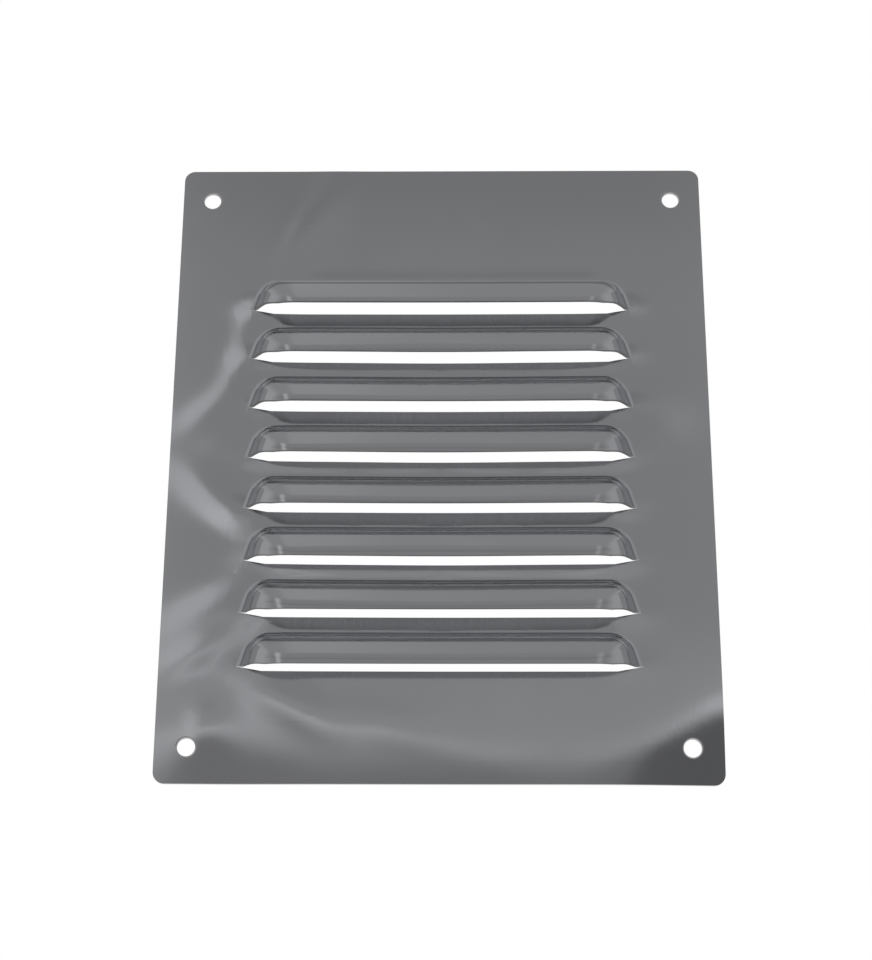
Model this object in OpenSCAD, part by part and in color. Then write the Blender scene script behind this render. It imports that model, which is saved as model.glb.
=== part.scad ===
// Louvred air grille: a sheet of polished stainless steel with a column of pressed louvres.
// It stands upright as it is fixed to a wall. The back face lies at Y = 0, the louvres rise
// toward -Y and open downward, and the origin is the centre of the back face.

/* [Sheet] */
// Width of the sheet
sheet_w = 125; // [100:1:200]
// Height of the sheet
sheet_h = 150; // [110:1:260]
// Thickness of the sheet
sheet_t = 0.8; // [0.5:0.1:1.2]
// Radius of the sheet's corners
corner_r = 2.5; // [1:0.1:5]

/* [Screw holes] */
// Diameter of a screw hole
screw_hole_d = 4; // [3:0.1:5]
// Distance of a hole's centre from the side edge
hole_inset_side = 7; // [5:0.1:12]
// Distance of a hole's centre from the top or bottom edge
hole_inset_end = 8; // [5:0.1:12]
// Radius that the punch rolls onto the front rim of a hole
hole_rim_r = 0.3; // [0.1:0.05:0.4]

/* [Louvre bank] */
// Distance from one slit to the next
louvre_pitch = 12.4; // [11:0.1:18]
// Height of the lowest slit above the bottom edge
bottom_margin = 25; // [14:0.5:40]
// Least distance from the top edge down to the foot of the highest louvre
top_margin = 28; // [14:0.5:40]
// Distance from a side edge to the end of a louvre's foot line
side_margin = 17; // [10:0.5:25]

/* [Louvre hood] */
// Distance from the slit to the foot of the hood
hood_depth = 9; // [7.5:0.1:10.5]
// Height of the lip's outer edge above the front of the sheet
hood_rise = 7; // [5:0.1:8.5]
// Distance by which forming draws the lip back from the slit
lip_setback = 0.2; // [0.1:0.1:1]
// Radius of the hollow bend at the foot, on the front of the sheet
foot_r = 1.2; // [0.6:0.1:1.6]
// Radius of the shoulder above the wall, on the front of the sheet
shoulder_r = 4; // [2.5:0.1:4.5]
// Slope of the wall between foot and shoulder, in degrees
wall_slope = 68; // [62:1:75]
// Slope of the crown at the lip, in degrees
lip_slope = 4; // [0:1:10]
// Radius of the foot line at the hood's upper corners
end_corner_r = 6; // [4:0.1:7]
// Angle by which the slit climbs toward its tips, in degrees
tip_climb = 10; // [2:1:15]
// Length of the climb at each tip
climb_len = 6; // [3:0.5:8]

/* [Hidden] */
$fn = 96;
polished_steel = "silver";
// Distance by which a drill or a cut reaches past the faces that it opens
drill_over = 1;
// Turn of the shoulder, and lean of the hood's ends from the sheet's upright. Both come from right
// triangles in whole numbers (3 4 5 and 7 24 25), so that the lengths of hood meet exactly.
shoulder_turn = atan2(3, 4);
end_lean = atan2(7, 24);
// How far the crown is drawn past the lip before it is trimmed there, in degrees
lip_spare = 6;

// The bank: louvre 1 is the highest, and a taller sheet takes more louvres
louvre_room = sheet_h - top_margin - bottom_margin - hood_depth;
louvre_count = floor(louvre_room / louvre_pitch) + 1;
function slit_height(i) = bottom_margin - sheet_h / 2 + (louvre_count - i) * louvre_pitch;

// The hood's section runs foot bend, wall, shoulder, crown. The wall's length and the crown's
// radius are what is left of the depth and the rise after the two bends.
crown_slope = wall_slope - shoulder_turn;
run_left = hood_depth - lip_setback - foot_r * sin(wall_slope)
    - shoulder_r * (sin(wall_slope) - sin(crown_slope));
rise_left = hood_rise - foot_r * (1 - cos(wall_slope))
    - shoulder_r * (cos(crown_slope) - cos(wall_slope));
crown_run = sin(crown_slope) - sin(lip_slope);
crown_lift = cos(lip_slope) - cos(crown_slope);
share = crown_run * sin(wall_slope) - crown_lift * cos(wall_slope);
crown_r = (run_left * sin(wall_slope) - rise_left * cos(wall_slope)) / share;
wall_len = (rise_left * crown_run - run_left * crown_lift) / share;
crown_turn = crown_slope - lip_slope + lip_spare;

// The hood in plan, for its right half: the corner's centre, and the slit's tip, where the end's
// foot line runs out. The slit climbs toward the tip from slit_half on.
end_x = sheet_w / 2 - side_margin;
end_out = [cos(end_lean), sin(end_lean)];
corner_y = hood_depth - end_corner_r;
end_rise = corner_y + end_corner_r * end_out.y;
corner_x = end_x - end_corner_r * end_out.x - end_rise * tan(end_lean);
slit_half = end_x - climb_len;
tip_rise = climb_len * tan(tip_climb) / (1 + tan(end_lean) * tan(tip_climb));
tip = [end_x - tip_rise * tan(end_lean), tip_rise];

// Sector of a disc between two angles less than half a turn apart
module sector(r, from, to) {
    middle = (from + to) / 2;
    intersection() {
        circle(r);
        polygon([[0, 0], for (angle = [from, middle, to]) 2 * r * [cos(angle), sin(angle)]]);
    }
}

// Strip of bent sheet about the origin, between two angles
module bend(inner, from, to) {
    difference() {
        sector(inner + sheet_t, from, to);
        circle(inner);
    }
}

// Section of the hood: distance from the foot line against height above the back of the sheet.
// Each stretch is drawn in the frame of the one before it.
module hood_section() {
    translate([0, sheet_t + foot_r]) rotate(wall_slope) {
        bend(foot_r, 270 - wall_slope, 270);
        translate([0, -foot_r - sheet_t]) square([wall_len, sheet_t]);
        translate([wall_len, -foot_r - shoulder_r]) {
            bend(shoulder_r - sheet_t, 90 - shoulder_turn, 90);
            rotate(-shoulder_turn) translate([0, shoulder_r - crown_r])
                bend(crown_r - sheet_t, 90 - crown_turn, 90);
        }
    }
}

// Length of hood along X from the origin, with its foot at Y = 0 and its crown toward -Y, mitred
// at +X where the next length joins it
module mitred_length(length) {
    reach = 10 * [end_out.x, 1 + end_out.y];
    difference() {
        mirror([0, 1, 0]) rotate([90, 0, 90]) linear_extrude(length) hood_section();
        translate([length, -end_corner_r, -drill_over]) linear_extrude(hood_rise + 3 * drill_over)
            polygon([[0, 0], [drill_over, 0], [drill_over, -reach.y], -reach]);
    }
}

// Turn of the hood round its corner's axis, from the top's direction to the end's
module corner_turn() {
    rotate(90) mirror([0, 1, 0]) rotate_extrude(angle = 90 - end_lean) intersection() {
        translate([end_corner_r, 0]) mirror([1, 0]) hood_section();
        square([2 * end_corner_r, hood_rise + 2 * sheet_t]);
    }
}

// Right half of the hood before its mouth is trimmed: half the top, the corner and the end
module hood_half() {
    end_len = end_rise / end_out.x + drill_over;
    translate([0, hood_depth, 0]) mitred_length(corner_x);
    translate([corner_x, corner_y, 0]) {
        corner_turn();
        rotate(end_lean - 90) translate([end_len, end_corner_r, 0])
            mirror([1, 0, 0]) mitred_length(end_len);
    }
}

// All below the line to which the hood's mouth is trimmed
module below_mouth() {
    reach = climb_len + drill_over;
    climb = reach * tan(tip_climb);
    translate([0, lip_setback]) polygon([
        [-slit_half, 0], [slit_half, 0], [slit_half + reach, climb],
        [slit_half + reach, -hood_depth], [-slit_half - reach, -hood_depth], [-slit_half - reach, climb]
    ]);
}

// Hood lying flat, with its slit along X and its foot toward +Y
module hood() {
    difference() {
        union() {
            hood_half();
            mirror([1, 0, 0]) hood_half();
        }
        translate([0, 0, -drill_over]) linear_extrude(hood_rise + 3 * drill_over) below_mouth();
    }
}

// Cut in the sheet from which a hood is raised
module hood_cut() {
    corner = [corner_x, corner_y];
    for (side = [0, 1]) mirror([side, 0]) translate(corner) {
        polygon([
            [0, 0], [0, end_corner_r], [-corner_x, end_corner_r], [-corner_x, -corner_y],
            [slit_half, 0] - corner, tip - corner, end_corner_r * end_out
        ]);
        sector(end_corner_r, end_lean, 90);
    }
}

module sheet_outline() {
    square([sheet_w - 2 * corner_r, sheet_h], center = true);
    square([sheet_w, sheet_h - 2 * corner_r], center = true);
    for (x = [-1, 1], y = [-1, 1])
        translate([x * (sheet_w / 2 - corner_r), y * (sheet_h / 2 - corner_r)]) circle(corner_r);
}

// Bore of a screw hole, with the rounded rim at the front
module screw_hole() {
    hole_r = screw_hole_d / 2;
    translate([0, 0, -drill_over]) cylinder(h = sheet_t + 2 * drill_over, r = hole_r);
    rotate_extrude() difference() {
        translate([0, sheet_t - hole_rim_r]) square([hole_r + hole_rim_r, 2 * hole_rim_r]);
        translate([hole_r + hole_rim_r, sheet_t - hole_rim_r]) circle(hole_rim_r);
    }
}

// Stands a shape that lies with its back on Z = 0 upright, front toward -Y
module upright() {
    rotate([90, 0, 0]) children();
}

module face_plate() {
    color(polished_steel) upright() difference() {
        linear_extrude(sheet_t) difference() {
            sheet_outline();
            for (i = [1 : louvre_count]) translate([0, slit_height(i)]) hood_cut();
        }
        for (x = [-1, 1], y = [-1, 1])
            translate([x * (sheet_w / 2 - hole_inset_side), y * (sheet_h / 2 - hole_inset_end), 0])
                screw_hole();
    }
}

module louvre(i) {
    color(polished_steel) upright() translate([0, slit_height(i), 0]) hood();
}

face_plate();
for (i = [1 : louvre_count]) {
    louvre(i);
}
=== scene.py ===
"""Louvred air grille: the polished pressing with its eight louvres, and the studio around it.

The sheet stands upright in the frame of the solids: X to the right, Z up, front toward -Y.
Lengths are millimetres until a finished mesh is scaled to metres.
"""

import logging
import math
from dataclasses import dataclass, field
from enum import Enum

import bmesh
import bpy
from bmesh.types import BMEdge, BMesh, BMFace, BMVert
from bpy.types import Material, Node, NodeSocket, NodeTree, Object
from mathutils import Matrix, Vector


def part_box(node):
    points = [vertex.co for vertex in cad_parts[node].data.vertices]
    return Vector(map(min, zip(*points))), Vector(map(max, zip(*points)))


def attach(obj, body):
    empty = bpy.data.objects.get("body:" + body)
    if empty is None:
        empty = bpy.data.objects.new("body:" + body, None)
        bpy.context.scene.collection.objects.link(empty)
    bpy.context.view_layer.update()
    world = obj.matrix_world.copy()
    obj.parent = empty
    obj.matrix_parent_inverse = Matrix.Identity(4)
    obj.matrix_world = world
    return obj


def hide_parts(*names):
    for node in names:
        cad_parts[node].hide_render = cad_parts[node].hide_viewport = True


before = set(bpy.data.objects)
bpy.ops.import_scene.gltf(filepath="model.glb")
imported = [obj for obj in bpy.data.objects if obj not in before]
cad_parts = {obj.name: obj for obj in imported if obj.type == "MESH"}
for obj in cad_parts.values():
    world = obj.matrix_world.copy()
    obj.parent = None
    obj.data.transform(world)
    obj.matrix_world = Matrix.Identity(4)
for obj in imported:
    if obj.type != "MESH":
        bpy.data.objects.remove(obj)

LOG = logging.getLogger("louvred_grille")
MM = 0.001
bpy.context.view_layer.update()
BODY = "root"
# Distances in millimetres within which points are one, and lie on a cutting plane
MERGE = 1e-4
ON_PLANE = 1e-5
# Noise stays mostly between these values
NOISE_RANGE = (0.3, 0.7)


class Side(Enum):
    """Material slots of every piece of sheet, in their order."""

    FRONT = 0
    BACK = 1
    EDGE = 2


def linear(code: str) -> tuple[float, float, float, float]:
    """Turn an sRGB hex colour into linear RGBA.

    Args:
        code: colour as "#rrggbb".

    Returns:
        The linear colour with alpha 1.
    """
    parts = [int(code[i:i + 2], 16) / 255 for i in (1, 3, 5)]
    red, green, blue = [
        p / 12.92 if p <= 0.04045 else ((p + 0.055) / 1.055) ** 2.4 for p in parts
    ]
    return (red, green, blue, 1.0)


def add_node(tree: NodeTree, kind: str, settings: dict, links: dict) -> Node:
    """Add a node with its settings and the links into it.

    Args:
        tree: node tree that takes the node.
        kind: the node's type name.
        settings: values by property name or by input socket name or number.
        links: output sockets by input socket name or number.

    Returns:
        The new node.
    """
    node = tree.nodes.new(kind)
    for key, value in settings.items():
        if isinstance(key, str) and hasattr(node, key):
            setattr(node, key, value)
        else:
            node.inputs[key].default_value = value
    for key, socket in links.items():
        tree.links.new(socket, node.inputs[key])
    return node


def turned(degrees: float, axis: Vector) -> Matrix:
    """Give the matrix of a turn about an axis."""
    return Matrix.Rotation(math.radians(degrees), 3, axis)


ACROSS = Vector((1, 0, 0))
THROUGH = Vector((0, 1, 0))
UP = Vector((0, 0, 1))
UPRIGHT = turned(90, ACROSS)


def smooth(value: float, start: float, stop: float) -> float:
    """Give a soft step from 0 at the start to 1 at the stop."""
    share = min(max((value - start) / (stop - start), 0.0), 1.0)
    return share * share * (3 - 2 * share)


def everything(bm: BMesh) -> list:
    """List all points, edges and faces of a mesh."""
    return bm.verts[:] + bm.edges[:] + bm.faces[:]


def stand_up(bm: BMesh, place: tuple[float, float, float]) -> None:
    """Stand a flat mesh upright and move it to its place."""
    bmesh.ops.rotate(bm, verts=bm.verts, cent=(0, 0, 0), matrix=UPRIGHT)
    bmesh.ops.translate(bm, verts=bm.verts, vec=place)


def draw_on(bm: BMesh, vert: BMVert, along: Vector) -> BMVert:
    """Draw a straight edge on from a point.

    Args:
        bm: mesh that takes the edge.
        vert: point to start from.
        along: length and direction of the edge.

    Returns:
        The new point at its end.
    """
    end = bmesh.ops.extrude_vert_indiv(bm, verts=[vert])["verts"][0]
    bmesh.ops.translate(bm, verts=[end], vec=along)
    return end


def swing(
    bm: BMesh, vert: BMVert, centre: Vector, axis: Vector, degrees: float, steps: int
) -> BMVert:
    """Draw an arc on from a point.

    Args:
        bm: mesh that takes the arc's edges.
        vert: point to start from.
        centre: centre of the arc.
        axis: axis of the turn.
        degrees: angle of the turn.
        steps: number of edges.

    Returns:
        The new point at its end.
    """
    spun = bmesh.ops.spin(
        bm, geom=[vert], cent=centre, axis=axis, angle=math.radians(degrees), steps=steps
    )
    return [g for g in spun["geom_last"] if isinstance(g, BMVert)][0]


def take_in(bm: BMesh, other: BMesh) -> None:
    """Add a mesh to another and free it.

    Args:
        bm: mesh that takes the other in.
        other: mesh to add, which is freed.
    """
    passed = bpy.data.meshes.new("passed")
    other.to_mesh(passed)
    other.free()
    bm.from_mesh(passed)
    bpy.data.meshes.remove(passed)


def blank(name: str) -> tuple[Material, NodeTree]:
    """Start a material with an empty node tree.

    Args:
        name: name of the material.

    Returns:
        The material and its tree.
    """
    made = bpy.data.materials.new(name)
    made.use_nodes = True
    made.node_tree.nodes.clear()
    return made, made.node_tree


@dataclass(frozen=True)
class Relief:
    """Fine marks in a metal's surface, by the strength and depth of the bump."""

    strength: float
    depth_mm: float

    def close(self, tree: NodeTree, settings: dict, links: dict, height: NodeSocket) -> None:
        """Close the node tree of a metal.

        Args:
            tree: node tree of the material.
            settings: the shader's own values.
            links: sockets for the shader's colour and roughness.
            height: socket with the pattern of the marks.
        """
        marks = {"Strength": self.strength, "Distance": self.depth_mm * MM}
        bump = add_node(tree, "ShaderNodeBump", marks, {"Height": height})
        metal = {"Metallic": 1.0} | settings
        inputs = links | {"Normal": bump.outputs["Normal"]}
        shader = add_node(tree, "ShaderNodeBsdfPrincipled", metal, inputs)
        add_node(tree, "ShaderNodeOutputMaterial", {}, {"Surface": shader.outputs["BSDF"]})


@dataclass(frozen=True)
class SteelFace:
    """Face of rolled steel: two tints that mix in clouds, and upright lines in the relief.

    The roughness follows the lines or the clouds.
    """

    name: str
    colour: str
    second: str
    roughness: float
    roughness_spread: float
    cloud_mm: float
    cloud_detail: float
    line_mm: float
    line_detail: float
    line_squeeze: float
    relief: Relief
    lines_shine: bool
    line_roughness: float = 0.6

    def material(self) -> Material:
        """Make the material.

        Returns:
            The material with its nodes.
        """
        made, tree = blank(self.name)
        place = add_node(tree, "ShaderNodeTexCoord", {}, {}).outputs["Object"]
        wide = {"Scale": 1 / (self.cloud_mm * MM), "Detail": self.cloud_detail}
        cloud = add_node(tree, "ShaderNodeTexNoise", wide, {"Vector": place}).outputs["Fac"]
        # The lines run up the sheet, so the pattern is drawn out along Z. Real lines are too fine
        # to show, so these are coarser
        squeeze = {"Scale": (1.0, 1.0, self.line_squeeze)}
        along = add_node(tree, "ShaderNodeMapping", squeeze, {"Vector": place}).outputs["Vector"]
        fine = {
            "Scale": 1 / (self.line_mm * MM),
            "Detail": self.line_detail,
            "Roughness": self.line_roughness,
        }
        lines = add_node(tree, "ShaderNodeTexNoise", fine, {"Vector": along}).outputs["Fac"]
        tints = {"data_type": "RGBA", 6: linear(self.colour), 7: linear(self.second)}
        tint = add_node(tree, "ShaderNodeMix", tints, {0: cloud})
        low = self.roughness - self.roughness_spread / 2
        span = {
            "From Min": NOISE_RANGE[0],
            "From Max": NOISE_RANGE[1],
            "To Min": low,
            "To Max": low + self.roughness_spread,
        }
        pattern = lines if self.lines_shine else cloud
        sheen = add_node(tree, "ShaderNodeMapRange", span, {"Value": pattern})
        links = {"Base Color": tint.outputs[2], "Roughness": sheen.outputs["Result"]}
        self.relief.close(tree, {}, links, lines)
        return made


@dataclass(frozen=True)
class MirrorFace(SteelFace):
    """Stainless steel, mirror polished on the show face.

    It gives the eye a grey mirror: soft-edged reflections, faint upright lines from the last
    polishing wheel, and a bloom that changes a little from place to place.
    """

    name: str = "stainless_steel_mirror_polished"
    colour: str = "#c2c3c6"
    second: str = "#babbbf"
    roughness: float = 0.11
    roughness_spread: float = 0.05
    cloud_mm: float = 26.0
    cloud_detail: float = 3.0
    line_mm: float = 0.5
    line_detail: float = 2.0
    line_squeeze: float = 0.02
    relief: Relief = Relief(0.05, 0.02)
    lines_shine: bool = False


@dataclass(frozen=True)
class MillBack(SteelFace):
    """Stainless steel as it leaves the mill, on the back and inside the hoods.

    It gives the eye a dull satin grey with fine lines along the rolling direction.
    """

    name: str = "stainless_steel_mill_finish"
    colour: str = "#bebfc1"
    second: str = "#b2b3b5"
    roughness: float = 0.3
    roughness_spread: float = 0.08
    cloud_mm: float = 18.0
    cloud_detail: float = 4.0
    line_mm: float = 0.6
    line_detail: float = 3.0
    line_squeeze: float = 0.015
    relief: Relief = Relief(0.022, 0.02)
    lines_shine: bool = True


@dataclass(frozen=True)
class ShearedEdge:
    """Stainless steel on a sheared or punched edge.

    It gives the eye a thin, bright, slightly rough line with the tool's marks across it.
    """

    colour: str = "#c0c0bf"
    roughness: float = 0.35
    roughness_spread: float = 0.2
    mark_mm: float = 0.25
    mark_detail: float = 2.0
    relief: Relief = Relief(0.15, 0.03)

    def material(self) -> Material:
        """Make the material.

        Returns:
            The material with its nodes.
        """
        made, tree = blank("stainless_steel_sheared_edge")
        place = add_node(tree, "ShaderNodeTexCoord", {}, {}).outputs["Object"]
        # Real marks are too fine to show, so these are coarser
        fine = {"Scale": 1 / (self.mark_mm * MM), "Detail": self.mark_detail}
        marks = add_node(tree, "ShaderNodeTexNoise", fine, {"Vector": place}).outputs["Fac"]
        low = self.roughness - self.roughness_spread / 2
        span = {"To Min": low, "To Max": low + self.roughness_spread}
        sheen = add_node(tree, "ShaderNodeMapRange", span, {"Value": marks})
        colour = {"Base Color": linear(self.colour)}
        self.relief.close(tree, colour, {"Roughness": sheen.outputs["Result"]}, marks)
        return made


@dataclass(frozen=True)
class Dent:
    """One long or round unevenness of the sheet, in millimetres and degrees.

    A positive lift stands toward the viewer.
    """

    x: float
    z: float
    length: float
    width: float
    turn: float
    lift: float

    def at(self, x: float, z: float) -> float:
        """Give the lift at a point.

        Args:
            x: place across the sheet.
            z: place up the sheet.

        Returns:
            The lift toward the viewer.
        """
        c = math.cos(math.radians(self.turn))
        s = math.sin(math.radians(self.turn))
        u = ((x - self.x) * c + (z - self.z) * s) / self.length
        v = ((z - self.z) * c - (x - self.x) * s) / self.width
        return self.lift * math.exp(-u * u - v * v)


@dataclass
class SheetSizes:
    """Sizes of the flat sheet."""

    width: float
    height: float
    thickness: float
    corner_r: float = 2.5
    hole_r: float = 2.0
    hole_inset_side: float = 7.0
    hole_inset_end: float = 8.0
    hole_rim_r: float = 0.3

    @classmethod
    def from_frame(cls) -> "SheetSizes":
        """Read the sheet's three main sizes off its solid.

        Returns:
            The sizes in millimetres.
        """
        low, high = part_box("face_plate")
        width, thickness, height = [(b - a) / MM for a, b in zip(low, high)]
        return cls(width=width, height=height, thickness=thickness)

    def hole_centres(self) -> list[tuple[float, float]]:
        """Give the places of the four screw holes.

        Returns:
            Each centre's place across and up the sheet.
        """
        across = self.width / 2 - self.hole_inset_side
        up = self.height / 2 - self.hole_inset_end
        return [(x * across, z * up) for x in (-1, 1) for z in (-1, 1)]


@dataclass
class Hood:
    """Form that a louvre's hood has in the press, with its slit at height 0.

    The section runs foot bend, wall, shoulder, crown. In plan the hood has a straight top, two
    round corners and two leaning ends, and its mouth is trimmed along the slit.
    """

    sheet: SheetSizes
    depth: float = 9.0
    rise: float = 7.0
    lip_setback: float = 0.2
    foot_r: float = 1.2
    shoulder_r: float = 4.0
    wall_slope: float = 68.0
    shoulder_turn: float = math.degrees(math.atan2(3, 4))
    lip_slope: float = 4.0
    lip_spare: float = 6.0
    end_lean: float = math.degrees(math.atan2(7, 24))
    end_corner_r: float = 6.0
    tip_climb: float = 10.0
    climb_len: float = 6.0
    side_margin: float = 17.0
    lead_turn: float = 1.0
    hip_r: float = 20.0
    hip_power: float = 11.1
    hip_fade: tuple[float, float] = (1.5, 3.5)
    lean_in: float = 2.2
    lean_power: float = 1.5
    lean_height: float = 10.0
    lean_reach: tuple[float, float] = (5.0, 20.0)
    half_steps: int = 48
    corner_steps: int = 16
    end_steps: int = 12
    foot_steps: int = 16
    wall_steps: int = 2
    shoulder_steps: int = 14
    crown_steps: int = 12
    lean: float = field(init=False)
    crown_slope: float = field(init=False)
    wall_len: float = field(init=False)
    crown_r: float = field(init=False)
    end_x: float = field(init=False)
    corner: Vector = field(init=False)

    def __post_init__(self) -> None:
        """Work out the lengths that the driving sizes leave for the wall, the crown and the top."""
        self.crown_slope = self.wall_slope - self.shoulder_turn
        wall, crown, lip = self.slopes()
        run = self.depth - self.lip_setback - self.foot_r * math.sin(wall)
        run -= self.shoulder_r * (math.sin(wall) - math.sin(crown))
        rise = self.rise - self.foot_r * (1 - math.cos(wall))
        rise -= self.shoulder_r * (math.cos(crown) - math.cos(wall))
        crown_run = math.sin(crown) - math.sin(lip)
        crown_lift = math.cos(lip) - math.cos(crown)
        share = crown_run * math.sin(wall) - crown_lift * math.cos(wall)
        self.crown_r = (run * math.sin(wall) - rise * math.cos(wall)) / share
        self.wall_len = (rise * crown_run - run * crown_lift) / share
        self.end_x = self.sheet.width / 2 - self.side_margin
        lean = self.lean = math.radians(self.end_lean)
        corner_z = self.depth - self.end_corner_r
        end_rise = corner_z + self.end_corner_r * math.sin(lean)
        corner_x = self.end_x - self.end_corner_r * math.cos(lean) - end_rise * math.tan(lean)
        self.corner = Vector((corner_x, 0, corner_z))

    def slopes(self) -> tuple[float, float, float]:
        """Give the slopes of the wall, of the crown's start and of the lip in radians."""
        wall = math.radians(self.wall_slope)
        return wall, math.radians(self.crown_slope), math.radians(self.lip_slope)

    def end_along(self) -> Vector:
        """Give the direction of the right end's foot line, from the corner down to the tip."""
        return Vector((math.sin(self.lean), 0, -math.cos(self.lean)))

    def outside(self, x: float, up: float) -> float:
        """Give the distance of a point of the sheet outside the foot line.

        Args:
            x: place across the sheet.
            up: height above the slit.

        Returns:
            The distance, below 0 inside the foot line.
        """
        across = abs(x) - self.corner.x
        above = up - self.corner.z
        if across <= 0:
            return up - self.depth
        if above > across * math.tan(self.lean):
            return math.hypot(across, above) - self.end_corner_r
        return across * math.cos(self.lean) + above * math.sin(self.lean) - self.end_corner_r

    def outward(self, slope: float) -> Vector:
        """Give the section's outward normal where it slopes by an angle."""
        return Vector((0, -math.cos(math.radians(slope)), math.sin(math.radians(slope))))

    def draw_section(self, x: float) -> BMesh:
        """Draw the section of the hood's front from the foot to a little past the lip.

        Args:
            x: place of the section.

        Returns:
            A new mesh that holds the section's edges.
        """
        bm = bmesh.new()
        vert = bmesh.ops.create_vert(bm, co=(x, -self.sheet.thickness, self.depth))["vert"][0]
        # A short first step keeps the shading level with the flat sheet at the border
        foot = vert.co - THROUGH * self.foot_r
        vert = swing(bm, vert, foot, ACROSS, -self.lead_turn, 1)
        foot = vert.co + self.outward(self.lead_turn) * self.foot_r
        vert = swing(bm, vert, foot, ACROSS, self.lead_turn - self.wall_slope, self.foot_steps)
        wall = math.radians(self.wall_slope)
        along = Vector((0, -math.sin(wall), -math.cos(wall))) * self.wall_len
        for _ in range(self.wall_steps):
            vert = draw_on(bm, vert, along / self.wall_steps)
        shoulder = vert.co - self.outward(self.wall_slope) * self.shoulder_r
        vert = swing(bm, vert, shoulder, ACROSS, self.shoulder_turn, self.shoulder_steps)
        crown = vert.co - self.outward(self.crown_slope) * self.crown_r
        crown_turn = self.crown_slope - self.lip_slope + self.lip_spare
        swing(bm, vert, crown, ACROSS, crown_turn, self.crown_steps)
        return bm

    def pull(self, bm: BMesh, along: Vector, steps: int) -> None:
        """Pull all edges and points of a mesh along a straight.

        Args:
            bm: mesh with a line or a point.
            along: length and direction of the pull.
            steps: number of steps.
        """
        bmesh.ops.spin(
            bm,
            geom=everything(bm),
            cent=(0, 0, 0),
            axis=THROUGH,
            dvec=along / steps,
            angle=0,
            steps=steps,
        )

    def mitre(self, bm: BMesh, end_side: bool) -> None:
        """Cut one length of hood at the right mitre.

        Args:
            bm: mesh of the length.
            end_side: keep the side of the end, not that of the top.
        """
        bmesh.ops.bisect_plane(
            bm,
            geom=everything(bm),
            dist=ON_PLANE,
            plane_co=self.corner,
            plane_no=(ACROSS + self.end_along()).normalized(),
            clear_inner=end_side,
            clear_outer=not end_side,
        )

    def top_length(self) -> BMesh:
        """Model the front skin of the top's right half.

        Returns:
            A new mesh, mitred at the corner.
        """
        bm = self.draw_section(0.0)
        self.pull(bm, ACROSS * self.corner.x, self.half_steps)
        self.mitre(bm, end_side=False)
        return bm

    def corner_turn(self) -> BMesh:
        """Model the front skin of the right corner, turned about the corner's axis.

        Returns:
            A new mesh.
        """
        bm = self.draw_section(self.corner.x)
        lower = {"plane_co": self.corner, "plane_no": UP, "clear_inner": True}
        bmesh.ops.bisect_plane(bm, geom=everything(bm), dist=ON_PLANE, **lower)
        bmesh.ops.spin(
            bm,
            geom=everything(bm),
            cent=self.corner,
            axis=THROUGH,
            angle=math.radians(90 - self.end_lean),
            steps=self.corner_steps,
        )
        return bm

    def end_length(self) -> BMesh:
        """Model the front skin of the right end, a little past the slit.

        Its steps are as long as the top's, so that both meet point to point at the mitre.

        Returns:
            A new mesh, mitred at the corner.
        """
        bm = self.draw_section(self.corner.x)
        to_end = turned(90 - self.end_lean, THROUGH)
        bmesh.ops.rotate(bm, verts=bm.verts, cent=self.corner, matrix=to_end)
        step = self.corner.x / self.half_steps
        self.pull(bm, self.end_along() * step * self.end_steps, self.end_steps)
        self.mitre(bm, end_side=True)
        return bm

    def skin(self) -> BMesh:
        """Model the whole front skin, before the mouth is trimmed.

        Returns:
            A new mesh whose faces point outwards.
        """
        bm = bmesh.new()
        for length in (self.top_length(), self.corner_turn(), self.end_length()):
            take_in(bm, length)
        bmesh.ops.remove_doubles(bm, verts=bm.verts, dist=MERGE)
        bmesh.ops.mirror(bm, geom=everything(bm), merge_dist=MERGE, axis="X")
        bmesh.ops.recalc_face_normals(bm, faces=bm.faces)
        top = min(bm.faces, key=lambda face: face.calc_center_median().y)
        if top.normal.y > 0:
            bmesh.ops.reverse_faces(bm, faces=bm.faces)
        return bm

    def trim_mouth(self, bm: BMesh) -> None:
        """Trim the thick hood along the slit and its climbing tips, and close the sheared edge.

        Args:
            bm: hood with its thickness.
        """
        slit_half = self.end_x - self.climb_len
        for side, climb in ((0, 0.0), (1, self.tip_climb), (-1, self.tip_climb)):
            angle = math.radians(climb)
            cut = bmesh.ops.bisect_plane(
                bm,
                geom=everything(bm),
                dist=ON_PLANE,
                plane_co=(side * slit_half, 0, self.lip_setback),
                plane_no=(-side * math.sin(angle), 0, math.cos(angle)),
                clear_inner=True,
            )["geom_cut"]
            rim = [g for g in cut if isinstance(g, BMEdge) and g.is_boundary]
            closed = bmesh.ops.triangle_fill(bm, use_beauty=True, edges=rim)["geom"]
            for face in closed:
                if isinstance(face, BMFace):
                    face.material_index = Side.EDGE.value

    def from_end(self, place: Vector) -> float:
        """Give the distance of a point from the straight foot line of the nearer end.

        Args:
            place: point on the hood.

        Returns:
            The distance, above 0 inside the foot line.
        """
        across = abs(place.x) - self.corner.x
        above = place.z - self.corner.z
        return self.end_corner_r - across * math.cos(self.lean) - above * math.sin(self.lean)

    def crown_height(self, run: float) -> float:
        """Give the height of the shoulder and the crown, up to a constant.

        Args:
            run: distance from the foot line.

        Returns:
            The height, from the shoulder's start on.
        """
        wall, crown, lip = self.slopes()
        level = self.depth - self.lip_setback + self.crown_r * math.sin(lip)
        join = level - self.crown_r * math.sin(crown)
        if run >= join:
            return math.sqrt(self.crown_r**2 - (level - run) ** 2)
        back = join + self.shoulder_r * math.sin(crown) - run
        back = min(back, self.shoulder_r * math.sin(wall))
        drop = self.shoulder_r * math.cos(crown) - math.sqrt(self.shoulder_r**2 - back**2)
        return self.crown_r * math.cos(crown) - drop

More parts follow.
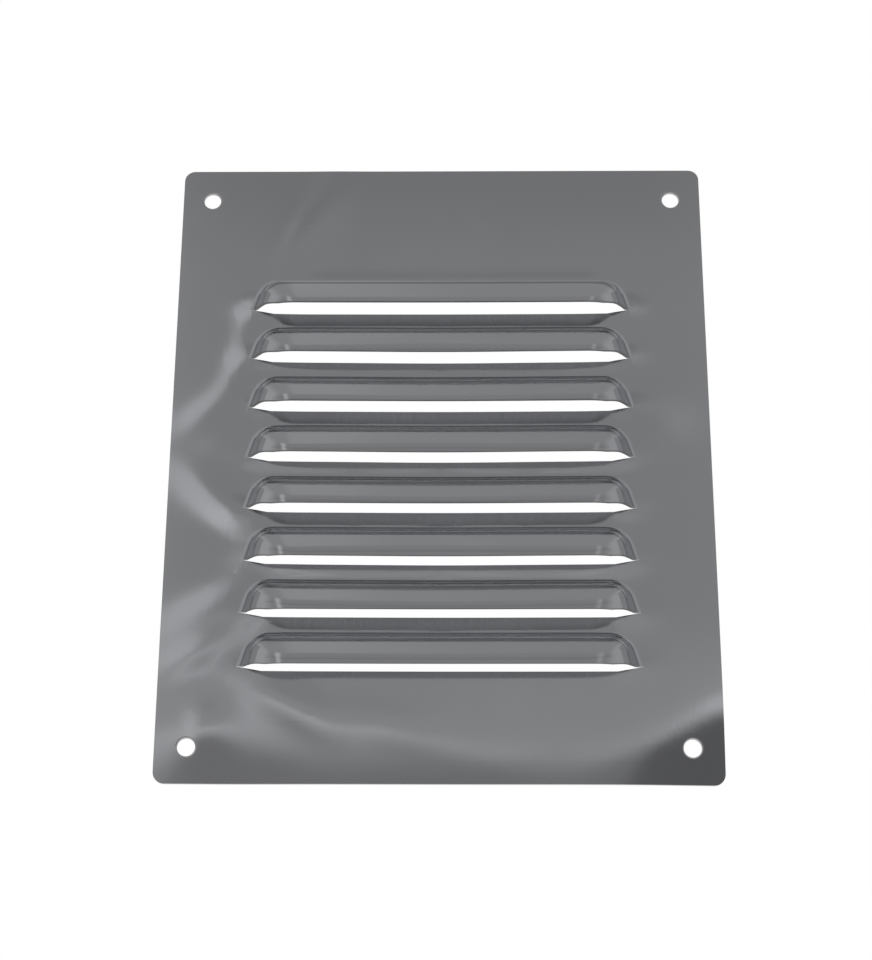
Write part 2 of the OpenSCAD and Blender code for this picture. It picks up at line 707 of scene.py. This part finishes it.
    def round_hips(self, bm: BMesh) -> None:
        """Round off the hips where the crowns of the top and of the ends meet.

        Args:
            bm: hood with its mouth trimmed.
        """
        power = self.hip_power
        for vert in bm.verts:
            top = self.depth - vert.co.z
            end = self.from_end(vert.co)
            plain = min(-self.outside(vert.co.x, vert.co.z), top, end)
            over_top = max(self.hip_r - top, 0.0)
            over_end = max(self.hip_r - end, 0.0)
            blend = (over_top**power + over_end**power) ** (1 / power)
            sink = self.crown_height(plain) - self.crown_height(self.hip_r - blend)
            vert.co.y += smooth(plain, *self.hip_fade) * sink

    def lean_ends(self, bm: BMesh) -> None:
        """Lean both ends in toward the mouth, so that the opening tapers to its tips.

        Args:
            bm: hood with its mouth trimmed.
        """
        start, stop = self.lean_reach
        for vert in bm.verts:
            near = smooth(self.from_end(vert.co), stop, start)
            high = min(max(-vert.co.y - self.sheet.thickness, 0.0) / self.rise, 1.0)
            low = min(max(1 - vert.co.z / self.lean_height, 0.0), 1.0)
            shift = self.lean_in * high**self.lean_power * low**2 * near
            vert.co.x -= math.copysign(shift, vert.co.x)

    def cut_line(self) -> BMesh:
        """Draw the cut in the sheet from which the hood is raised: foot line and slit.

        Returns:
            A new mesh that holds the cut's edges.
        """
        bm = bmesh.new()
        climb = math.radians(self.tip_climb)
        bmesh.ops.create_vert(bm, co=(0, 0, self.depth))
        self.pull(bm, ACROSS * self.corner.x, self.half_steps)
        vert = max(bm.verts, key=lambda v: v.co.x)
        vert = swing(bm, vert, self.corner, THROUGH, 90 - self.end_lean, self.corner_steps)
        tip_z = self.climb_len * math.tan(climb) / (1 + math.tan(self.lean) * math.tan(climb))
        tip_x = self.end_x - tip_z * math.tan(self.lean)
        slit_half = self.end_x - self.climb_len
        for x, z in ((tip_x, tip_z), (slit_half, 0.0), (0.0, 0.0)):
            vert = draw_on(bm, vert, Vector((x, 0, z)) - vert.co)
        bmesh.ops.mirror(bm, geom=everything(bm), merge_dist=MERGE, axis="X")
        return bm


@dataclass(frozen=True)
class FootPull:
    """Lift of the sheet along a hood's foot, where the press pulled it forward."""

    hood: Hood
    slit: float
    lift: float
    width: float = 1.6
    reach: float = 4.8
    full_down_to: float = 1.0
    fade: float = 2.5
    side_fade: float = 6.0

    def at(self, x: float, z: float) -> float:
        """Give the lift at a point.

        Args:
            x: place across the sheet.
            z: place up the sheet.

        Returns:
            The lift toward the viewer, full on the hood itself.
        """
        up = z - self.slit
        out = self.hood.outside(x, up)
        if out > self.reach:
            return 0.0
        past = max(0.0, self.hood.depth - self.full_down_to - up) / self.fade
        aside = max(0.0, abs(x) - self.hood.corner.x + self.side_fade) / self.side_fade
        return self.lift * math.exp(-max(0.0, out / self.width) ** 2 - past**2 - aside**2)


@dataclass(frozen=True)
class SheetRelief:
    """Unevenness that pressing left in the sheet: creases, pulls and a slight curl."""

    dents: tuple[Dent, ...]
    pulls: tuple[FootPull, ...]

    def shape(self, bm: BMesh) -> None:
        """Move a mesh onto the uneven sheet.

        Args:
            bm: mesh that is still in millimetres.
        """
        for vert in bm.verts:
            x, z = vert.co.x, vert.co.z
            vert.co.y -= sum(part.at(x, z) for part in self.dents + self.pulls)


@dataclass
class Piece:
    """A finished piece of sheet: takes a mesh in millimetres and makes the object."""

    name: str
    node: str
    finishes: list[Material]
    crease: float = 32.0

    def settle(self, bm: BMesh) -> None:
        """Scale the mesh to metres, dress it and set it on its body.

        Args:
            bm: finished mesh in millimetres, which is freed.
        """
        bmesh.ops.scale(bm, vec=(MM, MM, MM), verts=bm.verts)
        for face in bm.faces:
            face.smooth = True
        mesh = bpy.data.meshes.new(self.name)
        bm.to_mesh(mesh)
        bm.free()
        mesh.set_sharp_from_angle(angle=math.radians(self.crease))
        for finish in self.finishes:
            mesh.materials.append(finish)
        made = bpy.data.objects.new(self.name, mesh)
        bpy.context.scene.collection.objects.link(made)
        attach(made, BODY)
        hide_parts(self.node)
        LOG.info("%s: %d faces, stands for %s", self.name, len(mesh.polygons), self.node)


@dataclass
class LouvreHood:
    """One raised hood on its place in the bank."""

    number: int
    slit: float
    hood: Hood
    relief: SheetRelief
    finishes: list[Material]

    def build(self) -> None:
        """Model the hood: bend the skin, give it the sheet's thickness and trim the mouth."""
        bm = self.hood.skin()
        skin = set(bm.faces)
        bmesh.ops.solidify(bm, geom=bm.faces[:], thickness=self.hood.sheet.thickness)
        self.dress(bm, skin)
        self.hood.trim_mouth(bm)
        self.hood.round_hips(bm)
        self.hood.lean_ends(bm)
        bmesh.ops.translate(bm, verts=bm.verts, vec=(0, 0, self.slit))
        self.relief.shape(bm)
        piece = Piece(f"louvre_hood_{self.number}", f"louvre_{self.number}", self.finishes)
        piece.settle(bm)

    def dress(self, bm: BMesh, skin: set) -> None:
        """Give front, back and sheared edge their finishes.

        Args:
            bm: mesh with its thickness.
            skin: faces that were there before the thickness.
        """
        front = {vert for face in skin for vert in face.verts}
        for face in bm.faces:
            if face in skin:
                face.material_index = Side.FRONT.value
            elif any(vert in front for vert in face.verts):
                face.material_index = Side.EDGE.value
            else:
                face.material_index = Side.BACK.value


@dataclass
class FacePlate:
    """The flat part of the sheet, with its screw holes and the cuts of the louvres."""

    sheet: SheetSizes
    hood: Hood
    slits: tuple[float, ...]
    relief: SheetRelief
    finishes: list[Material]
    cell: float = 1.25
    hole_segments: int = 48
    corner_segments: int = 8
    rim_segments: int = 4
    rim_margin: float = 0.1
    collar: float = 1.4
    front_tilt: float = -0.2
    back_tilt: float = 0.5

    def draw_outline(self, bm: BMesh) -> None:
        """Draw the sheet's outline with its round corners.

        Args:
            bm: mesh that takes the edges, empty until then.
        """
        bmesh.ops.create_grid(bm, x_segments=1, y_segments=1, size=0.5)
        bmesh.ops.scale(bm, vec=(self.sheet.width, self.sheet.height, 1), verts=bm.verts)
        bmesh.ops.bevel(
            bm,
            geom=bm.verts[:],
            offset=self.sheet.corner_r,
            segments=self.corner_segments,
            profile=0.5,
            affect="VERTICES",
            material=-1,
        )
        bmesh.ops.delete(bm, geom=bm.faces[:], context="FACES_ONLY")
        stand_up(bm, (0, 0, 0))

    def draw_holes(self, bm: BMesh) -> None:
        """Draw each screw hole's rim and a collar of even faces round it.

        Args:
            bm: mesh that takes the faces.
        """
        inner = self.sheet.hole_r
        # The middle ring ends the rim's shading close to its bend
        middle = inner + self.sheet.hole_rim_r + self.rim_margin
        for x, z in self.sheet.hole_centres():
            collar = bmesh.new()
            for radius in (inner, middle, inner + self.collar):
                bmesh.ops.create_circle(
                    collar, segments=self.hole_segments, radius=radius, cap_ends=False
                )
            loops = collar.edges[:]
            bmesh.ops.bridge_loops(collar, edges=loops[:2 * self.hole_segments])
            bmesh.ops.bridge_loops(collar, edges=loops[self.hole_segments:])
            stand_up(collar, (x, 0, z))
            take_in(bm, collar)

    def draw_cuts(self, bm: BMesh) -> None:
        """Draw the cut of each louvre.

        Args:
            bm: mesh that takes the edges.
        """
        for slit in self.slits:
            cut = self.hood.cut_line()
            bmesh.ops.translate(cut, verts=cut.verts, vec=(0, 0, slit))
            take_in(bm, cut)

    def from_hole(self, place: Vector) -> float:
        """Give the distance of a point from the nearest screw hole's centre."""
        return min(math.hypot(place.x - x, place.z - z) for x, z in self.sheet.hole_centres())

    def outer_edges(self, bm: BMesh) -> list[BMEdge]:
        """Find the lines between which the sheet is filled: all but the holes' own rims.

        Args:
            bm: mesh with the outline, the collars and the cuts.

        Returns:
            The lines that bound the sheet outside the collars.
        """
        reach = self.sheet.hole_r + self.collar / 2
        found = []
        for edge in bm.edges:
            middle = (edge.verts[0].co + edge.verts[1].co) / 2
            if len(edge.link_faces) < 2 and self.from_hole(middle) > reach:
                found.append(edge)
        return found

    def rim_edges(self, bm: BMesh) -> list[BMEdge]:
        """Find the front rims of the screw holes.

        Args:
            bm: plate with its thickness.

        Returns:
            The edges of the four rims.
        """
        front = -self.sheet.thickness
        reach = self.sheet.hole_r + 10 * MERGE
        rims = []
        for edge in bm.edges:
            level = all(abs(vert.co.y - front) < MERGE for vert in edge.verts)
            if level and all(self.from_hole(vert.co) < reach for vert in edge.verts):
                rims.append(edge)
        return rims

    def cross_cut(self, bm: BMesh) -> None:
        """Cut the plate into small cells, so that it can follow the unevenness.

        Args:
            bm: plate with its thickness.
        """
        for axis, size in ((ACROSS, self.sheet.width), (UP, self.sheet.height)):
            count = int(size / self.cell)
            for i in range(1, count):
                place = axis * (i * size / count - size / 2)
                bmesh.ops.bisect_plane(
                    bm, geom=everything(bm), dist=MERGE, plane_co=place, plane_no=axis
                )

    def build(self) -> None:
        """Model the plate: fill the drawn lines, thicken, round the rims, cut into cells."""
        bm = bmesh.new()
        self.draw_outline(bm)
        self.draw_holes(bm)
        self.draw_cuts(bm)
        bmesh.ops.triangle_fill(bm, use_beauty=True, edges=self.outer_edges(bm), normal=(0, -1, 0))
        back = bmesh.ops.extrude_face_region(bm, geom=bm.faces[:])["geom"]
        pulled = [g for g in back if isinstance(g, BMVert)]
        bmesh.ops.translate(bm, verts=pulled, vec=(0, -self.sheet.thickness, 0))
        bmesh.ops.recalc_face_normals(bm, faces=bm.faces)
        bmesh.ops.bevel(
            bm,
            geom=self.rim_edges(bm),
            offset=self.sheet.hole_rim_r,
            segments=self.rim_segments,
            profile=0.5,
            affect="EDGES",
            material=-1,
        )
        self.cross_cut(bm)
        self.dress(bm)
        self.relief.shape(bm)
        Piece("pressed_plate", "face_plate", self.finishes).settle(bm)

    def dress(self, bm: BMesh) -> None:
        """Give front, back and sheared edge their finishes.

        Args:
            bm: plate with its thickness.
        """
        bm.normal_update()
        for face in bm.faces:
            if face.normal.y < self.front_tilt:
                face.material_index = Side.FRONT.value
            elif face.normal.y > self.back_tilt:
                face.material_index = Side.BACK.value
            else:
                face.material_index = Side.EDGE.value


def stage_object(name: str, bm: BMesh, paint: Material, metal_only: bool) -> Object:
    """Make a piece of the studio.

    Args:
        name: name of the piece.
        bm: its mesh in metres, which is freed.
        paint: its material.
        metal_only: keep it from the eye, and from light and shadow on other things.

    Returns:
        The new object.
    """
    mesh = bpy.data.meshes.new(name)
    bm.to_mesh(mesh)
    bm.free()
    mesh.materials.append(paint)
    made = bpy.data.objects.new(name, mesh)
    if metal_only:
        made.visible_camera = False
        made.visible_diffuse = False
        made.visible_shadow = False
    bpy.context.scene.collection.objects.link(made)
    return made


@dataclass(frozen=True)
class Ramp:
    """Change of a card's level along one of its axes, from one place to another."""

    axis: str
    start: float
    end: float
    change: float


@dataclass(frozen=True)
class Card:
    """A plain studio card that only the metal sees.

    Its level is the light that it gives off, where 1 is white.
    """

    name: str
    centre: tuple[float, float, float]
    size: tuple[float, float]
    turn: tuple[float, float, float]
    level: float
    ramps: tuple[Ramp, ...] = ()

    def build(self) -> None:
        """Make the card."""
        bm = bmesh.new()
        bmesh.ops.create_grid(bm, x_segments=2, y_segments=2, size=0.5)
        bmesh.ops.scale(bm, vec=(*self.size, 1), verts=bm.verts)
        made = stage_object(self.name, bm, self.paint(), metal_only=True)
        made.location = self.centre
        made.rotation_euler = [math.radians(a) for a in self.turn]

    def paint(self) -> Material:
        """Make the card's own light: its level, changed by each ramp.

        Returns:
            The card's material.
        """
        paint, tree = blank(f"{self.name}_paint")
        place = add_node(tree, "ShaderNodeTexCoord", {}, {})
        split = add_node(tree, "ShaderNodeSeparateXYZ", {}, {0: place.outputs["Object"]})
        level = None
        for ramp in self.ramps:
            settings = {
                "interpolation_type": "SMOOTHSTEP",
                "From Min": ramp.start,
                "From Max": ramp.end,
                "To Max": ramp.change,
            }
            along = {"Value": split.outputs[ramp.axis]}
            change = add_node(tree, "ShaderNodeMapRange", settings, along).outputs["Result"]
            terms = {0: level, 1: change} if level else {1: change}
            own = {"operation": "ADD", 0: self.level}
            level = add_node(tree, "ShaderNodeMath", own, terms).outputs[0]
        strength = {"Strength": level} if level else {}
        light = add_node(tree, "ShaderNodeEmission", {"Strength": self.level}, strength)
        add_node(tree, "ShaderNodeOutputMaterial", {}, {"Surface": light.outputs["Emission"]})
        return paint


@dataclass(frozen=True)
class SlotShade:
    """A glowing grey strip close behind each louvre, which only the metal sees: painted shade in
    the hoods' mirror.

    It keeps the white all round out of the hoods' mirror, and the eye looks past it.
    """

    name: str
    hood: Hood
    slits: tuple[float, ...]
    low: float
    high: float
    level: float
    behind: float = 3.0
    turns: float = 2.0

    def build(self) -> None:
        """Make one glowing strip of painted shade for each louvre."""
        bm = bmesh.new()
        for slit in self.slits:
            strip = bmesh.new()
            bmesh.ops.create_grid(strip, x_segments=1, y_segments=1, size=0.5)
            size = (2 * self.hood.end_x, self.high - self.low, 1)
            bmesh.ops.scale(strip, vec=size, verts=strip.verts)
            stand_up(strip, (0, self.behind, slit + (self.low + self.high) / 2))
            take_in(bm, strip)
        bmesh.ops.scale(bm, vec=(MM, MM, MM), verts=bm.verts)
        stage_object(self.name, bm, self.paint(), metal_only=True)

    def paint(self) -> Material:
        """Make the strip's own light, there only for a ray that the metal has turned twice: painted
        shade in the hoods' reflections.

        Returns:
            The strip's material.
        """
        paint, tree = blank(f"{self.name}_paint")
        path = add_node(tree, "ShaderNodeLightPath", {}, {})
        same = {"operation": "COMPARE", 1: self.turns, 2: 0.5}
        twice = add_node(tree, "ShaderNodeMath", same, {0: path.outputs["Ray Depth"]})
        clear = add_node(tree, "ShaderNodeBsdfTransparent", {}, {})
        light = add_node(tree, "ShaderNodeEmission", {"Strength": self.level}, {})
        parts = {0: twice.outputs[0], 1: clear.outputs["BSDF"], 2: light.outputs["Emission"]}
        both = add_node(tree, "ShaderNodeMixShader", {}, parts)
        add_node(tree, "ShaderNodeOutputMaterial", {}, {"Surface": both.outputs["Shader"]})
        return paint


@dataclass(frozen=True)
class Lamp:
    """A soft rectangular lamp that points at the grille."""

    name: str
    place: tuple[float, float, float]
    size: tuple[float, float]
    watts: float

    def build(self) -> None:
        """Make the lamp."""
        light = bpy.data.lights.new(self.name, "AREA")
        light.shape = "RECTANGLE"
        light.size, light.size_y = self.size
        light.energy = self.watts
        made = bpy.data.objects.new(self.name, light)
        made.location = self.place
        made.rotation_euler = Vector(self.place).to_track_quat("Z", "Y").to_euler()
        made.visible_glossy = False
        bpy.context.scene.collection.objects.link(made)


# Ramps of the cards that aren't even: axis, start, end and change of the level
FRONT_RAMPS = (
    Ramp("Y", -0.18, -0.235, 0.06),
    Ramp("Y", 0.18, 0.29, -0.06),
    Ramp("Y", 0.32, 0.42, 0.06),
    Ramp("X", -0.275, -0.37, 0.30),
    Ramp("X", -0.44, -0.56, -0.30),
    Ramp("X", 0.25, 0.34, 0.14),
    Ramp("X", 0.42, 0.54, -0.14),
    Ramp("Y", -0.315, -0.37, 0.08),
    Ramp("Y", -0.38, -0.44, -0.24),
    Ramp("X", -0.6, -1.2, 0.15),
    Ramp("X", 0.6, 1.2, 0.13),
)
TOP_RAMPS = (
    Ramp("Y", -0.1, -0.3, -0.22),
    Ramp("X", -0.21, -0.15, 0.07),
    Ramp("X", -0.10, 0.0, -0.07),
    Ramp("X", -0.6, -1.2, 0.13),
    Ramp("X", 0.6, 1.2, 0.11),
)
CORNER_RAMPS = (Ramp("Y", -0.05, -0.025, 0.26), Ramp("Y", 0.025, 0.05, -0.26))
SHADE_RAMPS = (Ramp("Y", 0.15, 0.20, 0.25),)
CREASE_RAMPS = (Ramp("Y", -0.035, -0.01, 0.14), Ramp("Y", 0.01, 0.035, -0.12))
LEFT_RAMPS = (Ramp("X", -0.3, -0.1, -0.17),)
RIGHT_RAMPS = (Ramp("X", 0.3, 0.1, -0.15),)

# Cards: centre and size in metres, turn in degrees, level and ramps
CARDS = (
    Card("front_card", (0.0, -1.3, 0.5), (2.4, 1.6), (90, 0, 0), 0.35, FRONT_RAMPS),
    Card("corner_card", (0.4525, -1.285, 0.15), (0.405, 0.10), (90, 0, 0), 0.42, CORNER_RAMPS),
    Card("corner_shade", (0.445, -1.29, -0.10), (0.42, 0.40), (90, 0, 0), 0.15, SHADE_RAMPS),
    Card("crease_card", (-0.18, -1.29, 0.155), (0.26, 0.07), (90, 0, 0), 0.46, CREASE_RAMPS),
    Card("low_card", (0.0, -0.7, -0.28), (2.4, 1.2), (0, 0, 0), 0.42),
    Card("top_card", (0.0, 0.1, 1.3), (2.4, 3.0), (180, 0, 0), 0.39, TOP_RAMPS),
    Card("left_card", (-1.2, -0.3, 0.5), (2.2, 1.8), (90, 0, 90), 0.52, LEFT_RAMPS),
    Card("right_card", (1.2, -0.3, 0.5), (2.2, 1.8), (90, 0, -90), 0.50, RIGHT_RAMPS),
)

# Lamps: place and size in metres, and watts
LAMPS = (
    Lamp("left_lamp", (-0.6, -1.1, 0.35), (0.35, 0.6), 4.0),
    Lamp("top_lamp", (0.5, -0.7, 1.2), (0.8, 0.8), 6.0),
)


@dataclass
class Studio:
    """Floor, cards, lamps, sky and camera."""

    floor_level: float = -0.3
    floor_size: float = 40.0
    floor_colour: str = "#ececec"
    floor_roughness: float = 0.8
    floor_fade: tuple[float, float] = (0.6, 3.0)
    sky: float = 0.8
    lens: float = 70.25
    sensor: float = 36.0
    camera_place: tuple[float, float, float] = (0.00506, -0.40616, -0.14941)
    camera_turn: tuple[float, float, float] = (109.609, -0.244, 0.760)
    cards: tuple[Card, ...] = CARDS
    lamps: tuple[Lamp, ...] = LAMPS

    def build(self) -> None:
        """Set up the studio."""
        self.build_floor()
        for card in self.cards:
            card.build()
        for lamp in self.lamps:
            lamp.build()
        self.build_sky()
        self.build_camera()
        bpy.context.scene.view_settings.view_transform = "Standard"
        LOG.info("studio: %d cards, %d lamps", len(self.cards), len(self.lamps))

    def seen(self, tree: NodeTree) -> NodeSocket:
        """Tell where the eye, metal or glass looks straight at something.

        Args:
            tree: node tree that takes the nodes.

        Returns:
            The socket that gives 1 for such a ray and 0 for light.
        """
        path = add_node(tree, "ShaderNodeLightPath", {}, {})
        total = path.outputs["Is Camera Ray"]
        for kind in ("Is Glossy Ray", "Is Transmission Ray"):
            settings = {"operation": "ADD", "use_clamp": True}
            both = {0: total, 1: path.outputs[kind]}
            total = add_node(tree, "ShaderNodeMath", settings, both).outputs[0]
        return total

    def build_floor(self) -> None:
        """Lay the pale floor, which goes over into white far from the grille."""
        bm = bmesh.new()
        bmesh.ops.create_grid(bm, x_segments=4, y_segments=4, size=self.floor_size / 2)
        bmesh.ops.translate(bm, verts=bm.verts, vec=(0, 0, self.floor_level))
        stage_object("studio_floor", bm, self.floor_paint(), metal_only=False)

    def floor_paint(self) -> Material:
        """Make the floor's paint: matt near the grille, and far from it the white of the sky.

        Returns:
            The floor's material.
        """
        paint, tree = blank("floor_paint")
        matt = {"Base Color": linear(self.floor_colour), "Roughness": self.floor_roughness}
        near = add_node(tree, "ShaderNodeBsdfPrincipled", matt, {})
        far = add_node(tree, "ShaderNodeEmission", {"Strength": 1.0}, {})
        place = add_node(tree, "ShaderNodeTexCoord", {}, {})
        origin = {0: place.outputs["Object"]}
        reach = add_node(tree, "ShaderNodeVectorMath", {"operation": "LENGTH"}, origin)
        start, end = self.floor_fade
        soft = {"interpolation_type": "SMOOTHSTEP", "From Min": start, "From Max": end}
        fade = add_node(tree, "ShaderNodeMapRange", soft, {"Value": reach.outputs["Value"]})
        terms = {0: fade.outputs["Result"], 1: self.seen(tree)}
        share = add_node(tree, "ShaderNodeMath", {"operation": "MULTIPLY"}, terms)
        parts = {0: share.outputs[0], 1: near.outputs["BSDF"], 2: far.outputs["Emission"]}
        both = add_node(tree, "ShaderNodeMixShader", {}, parts)
        add_node(tree, "ShaderNodeOutputMaterial", {}, {"Surface": both.outputs["Shader"]})
        return paint

    def build_sky(self) -> None:
        """Light all round evenly: white where the eye, metal or glass looks, softer as light."""
        world = bpy.data.worlds.new("studio_sky")
        world.use_nodes = True
        tree = world.node_tree
        tree.nodes.clear()
        levels = {"To Min": self.sky, "To Max": 1.0}
        level = add_node(tree, "ShaderNodeMapRange", levels, {"Value": self.seen(tree)})
        strength = {"Strength": level.outputs["Result"]}
        light = add_node(tree, "ShaderNodeBackground", {"Color": (1, 1, 1, 1)}, strength)
        add_node(tree, "ShaderNodeOutputWorld", {}, {"Surface": light.outputs["Background"]})
        bpy.context.scene.world = world

    def build_camera(self) -> None:
        """Set the camera where the photograph was taken from: below the grille, looking up."""
        data = bpy.data.cameras.new("photo_camera")
        data.lens = self.lens
        data.sensor_width = self.sensor
        camera = bpy.data.objects.new("photo_camera", data)
        camera.location = self.camera_place
        camera.rotation_euler = [math.radians(a) for a in self.camera_turn]
        bpy.context.scene.collection.objects.link(camera)
        bpy.context.scene.camera = camera


# Creases and bows that the press left in the sheet, as they lie in the photograph
CREASES = (
    Dent(0.0, -84.0, 52.0, 12.5, 0.0, -0.74),
    Dent(-46.0, -82.0, 16.0, 13.0, 0.0, -0.62),
    Dent(67.0, -76.5, 25.0, 12.5, 25.0, -1.85),
    Dent(-36.0, -55.6, 13.0, 4.4, -31.0, 0.25),
    Dent(-12.0, -62.0, 16.0, 5.0, -8.0, 0.14),
    Dent(-51.0, -63.0, 6.0, 5.0, 90.0, 0.22),
    Dent(-45.6, 33.0, 8.0, 3.2, 75.0, 0.14),
    Dent(-47.3, 22.0, 8.0, 3.2, 62.0, 0.16),
    Dent(-53.5, 12.5, 9.0, 3.2, 40.0, 0.19),
    Dent(-50.0, 4.0, 9.0, 8.0, 90.0, 0.22),
    Dent(-48.5, -11.5, 14.0, 4.2, -41.0, 0.50),
    Dent(-49.4, -34.6, 13.0, 4.2, 29.0, 0.46),
    Dent(-50.0, -42.6, 12.0, 4.0, 33.0, 0.38),
    Dent(-31.5, 60.0, 16.0, 5.0, 66.0, 0.31),
    Dent(49.0, 9.0, 8.0, 7.0, 0.0, 0.26),
    Dent(0.0, -8.0, 26.0, 48.0, 0.0, -0.50),
)

# Where the slits end, the press drew the sheet forward: place from the tip, sizes, lift by louvre
TIP_INSET = 4.0
TIP_RISE = 0.9
TIP_SIZE = (6.0, 2.8)
TIP_LIFTS = (0.36, 0.36, 0.34, 0.32, 0.28, 0.24, 0.18, 0.12)

# How far each louvre, from the highest to the lowest, pulled the sheet forward at its foot
PULLS = (0.06, 0.30, -0.16, 0.30, -0.16, 0.30, -0.16, 0.30)

# Louvres below which the land between two cuts bows back, and the bow's drop, sizes and lift
BOWED = (2, 4, 6)
BOW_DROP = 1.7
BOW_SIZE = (24.0, 7.0)
BOW_LIFT = -0.45

# Glowing strips of painted shade behind each louvre: borders above the slit or past the foot, and
# levels
PAINTED_SHADE_LOW_FROM = -1.0
PAINTED_SHADE_LOW_TO = 3.4
PAINTED_SHADE_LOW_LEVEL = 0.60
SHADE_PAST = 1.0
SHADE_LEVEL = 0.18


def main() -> None:
    """Build the studio, the plate and the louvres in order."""
    logging.basicConfig(level=logging.INFO, format="%(name)s: %(message)s")
    Studio().build()
    finishes = [MirrorFace().material(), MillBack().material(), ShearedEdge().material()]
    sheet = SheetSizes.from_frame()
    hood = Hood(sheet)
    names = [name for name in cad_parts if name.startswith("louvre_")]
    slits = tuple(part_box(f"louvre_{i + 1}")[1][2] / MM - hood.depth for i in range(len(names)))
    pulls = tuple(FootPull(hood, slit, lift) for slit, lift in zip(slits, PULLS))
    tips = tuple(
        Dent(side * (hood.end_x - TIP_INSET), slit + TIP_RISE, *TIP_SIZE, 0.0, lift)
        for slit, lift in zip(slits, TIP_LIFTS)
        for side in (-1, 1)
    )
    bows = tuple(Dent(0.0, slits[i - 1] - BOW_DROP, *BOW_SIZE, 0.0, BOW_LIFT) for i in BOWED)
    relief = SheetRelief(CREASES + tips + bows, pulls)
    # Painted shade in the hoods' mirror: a lighter strip low behind each slit, a darker one above
    # it
    SlotShade("slot_painted_shade_low", hood, slits, PAINTED_SHADE_LOW_FROM, PAINTED_SHADE_LOW_TO, PAINTED_SHADE_LOW_LEVEL).build()
    SlotShade("slot_shade", hood, slits, PAINTED_SHADE_LOW_TO, hood.depth + SHADE_PAST, SHADE_LEVEL).build()
    for number, slit in enumerate(slits, 1):
        LouvreHood(number, slit, hood, relief, finishes).build()
    FacePlate(sheet, hood, slits, relief, finishes).build()


if __name__ == "__main__":
    main()
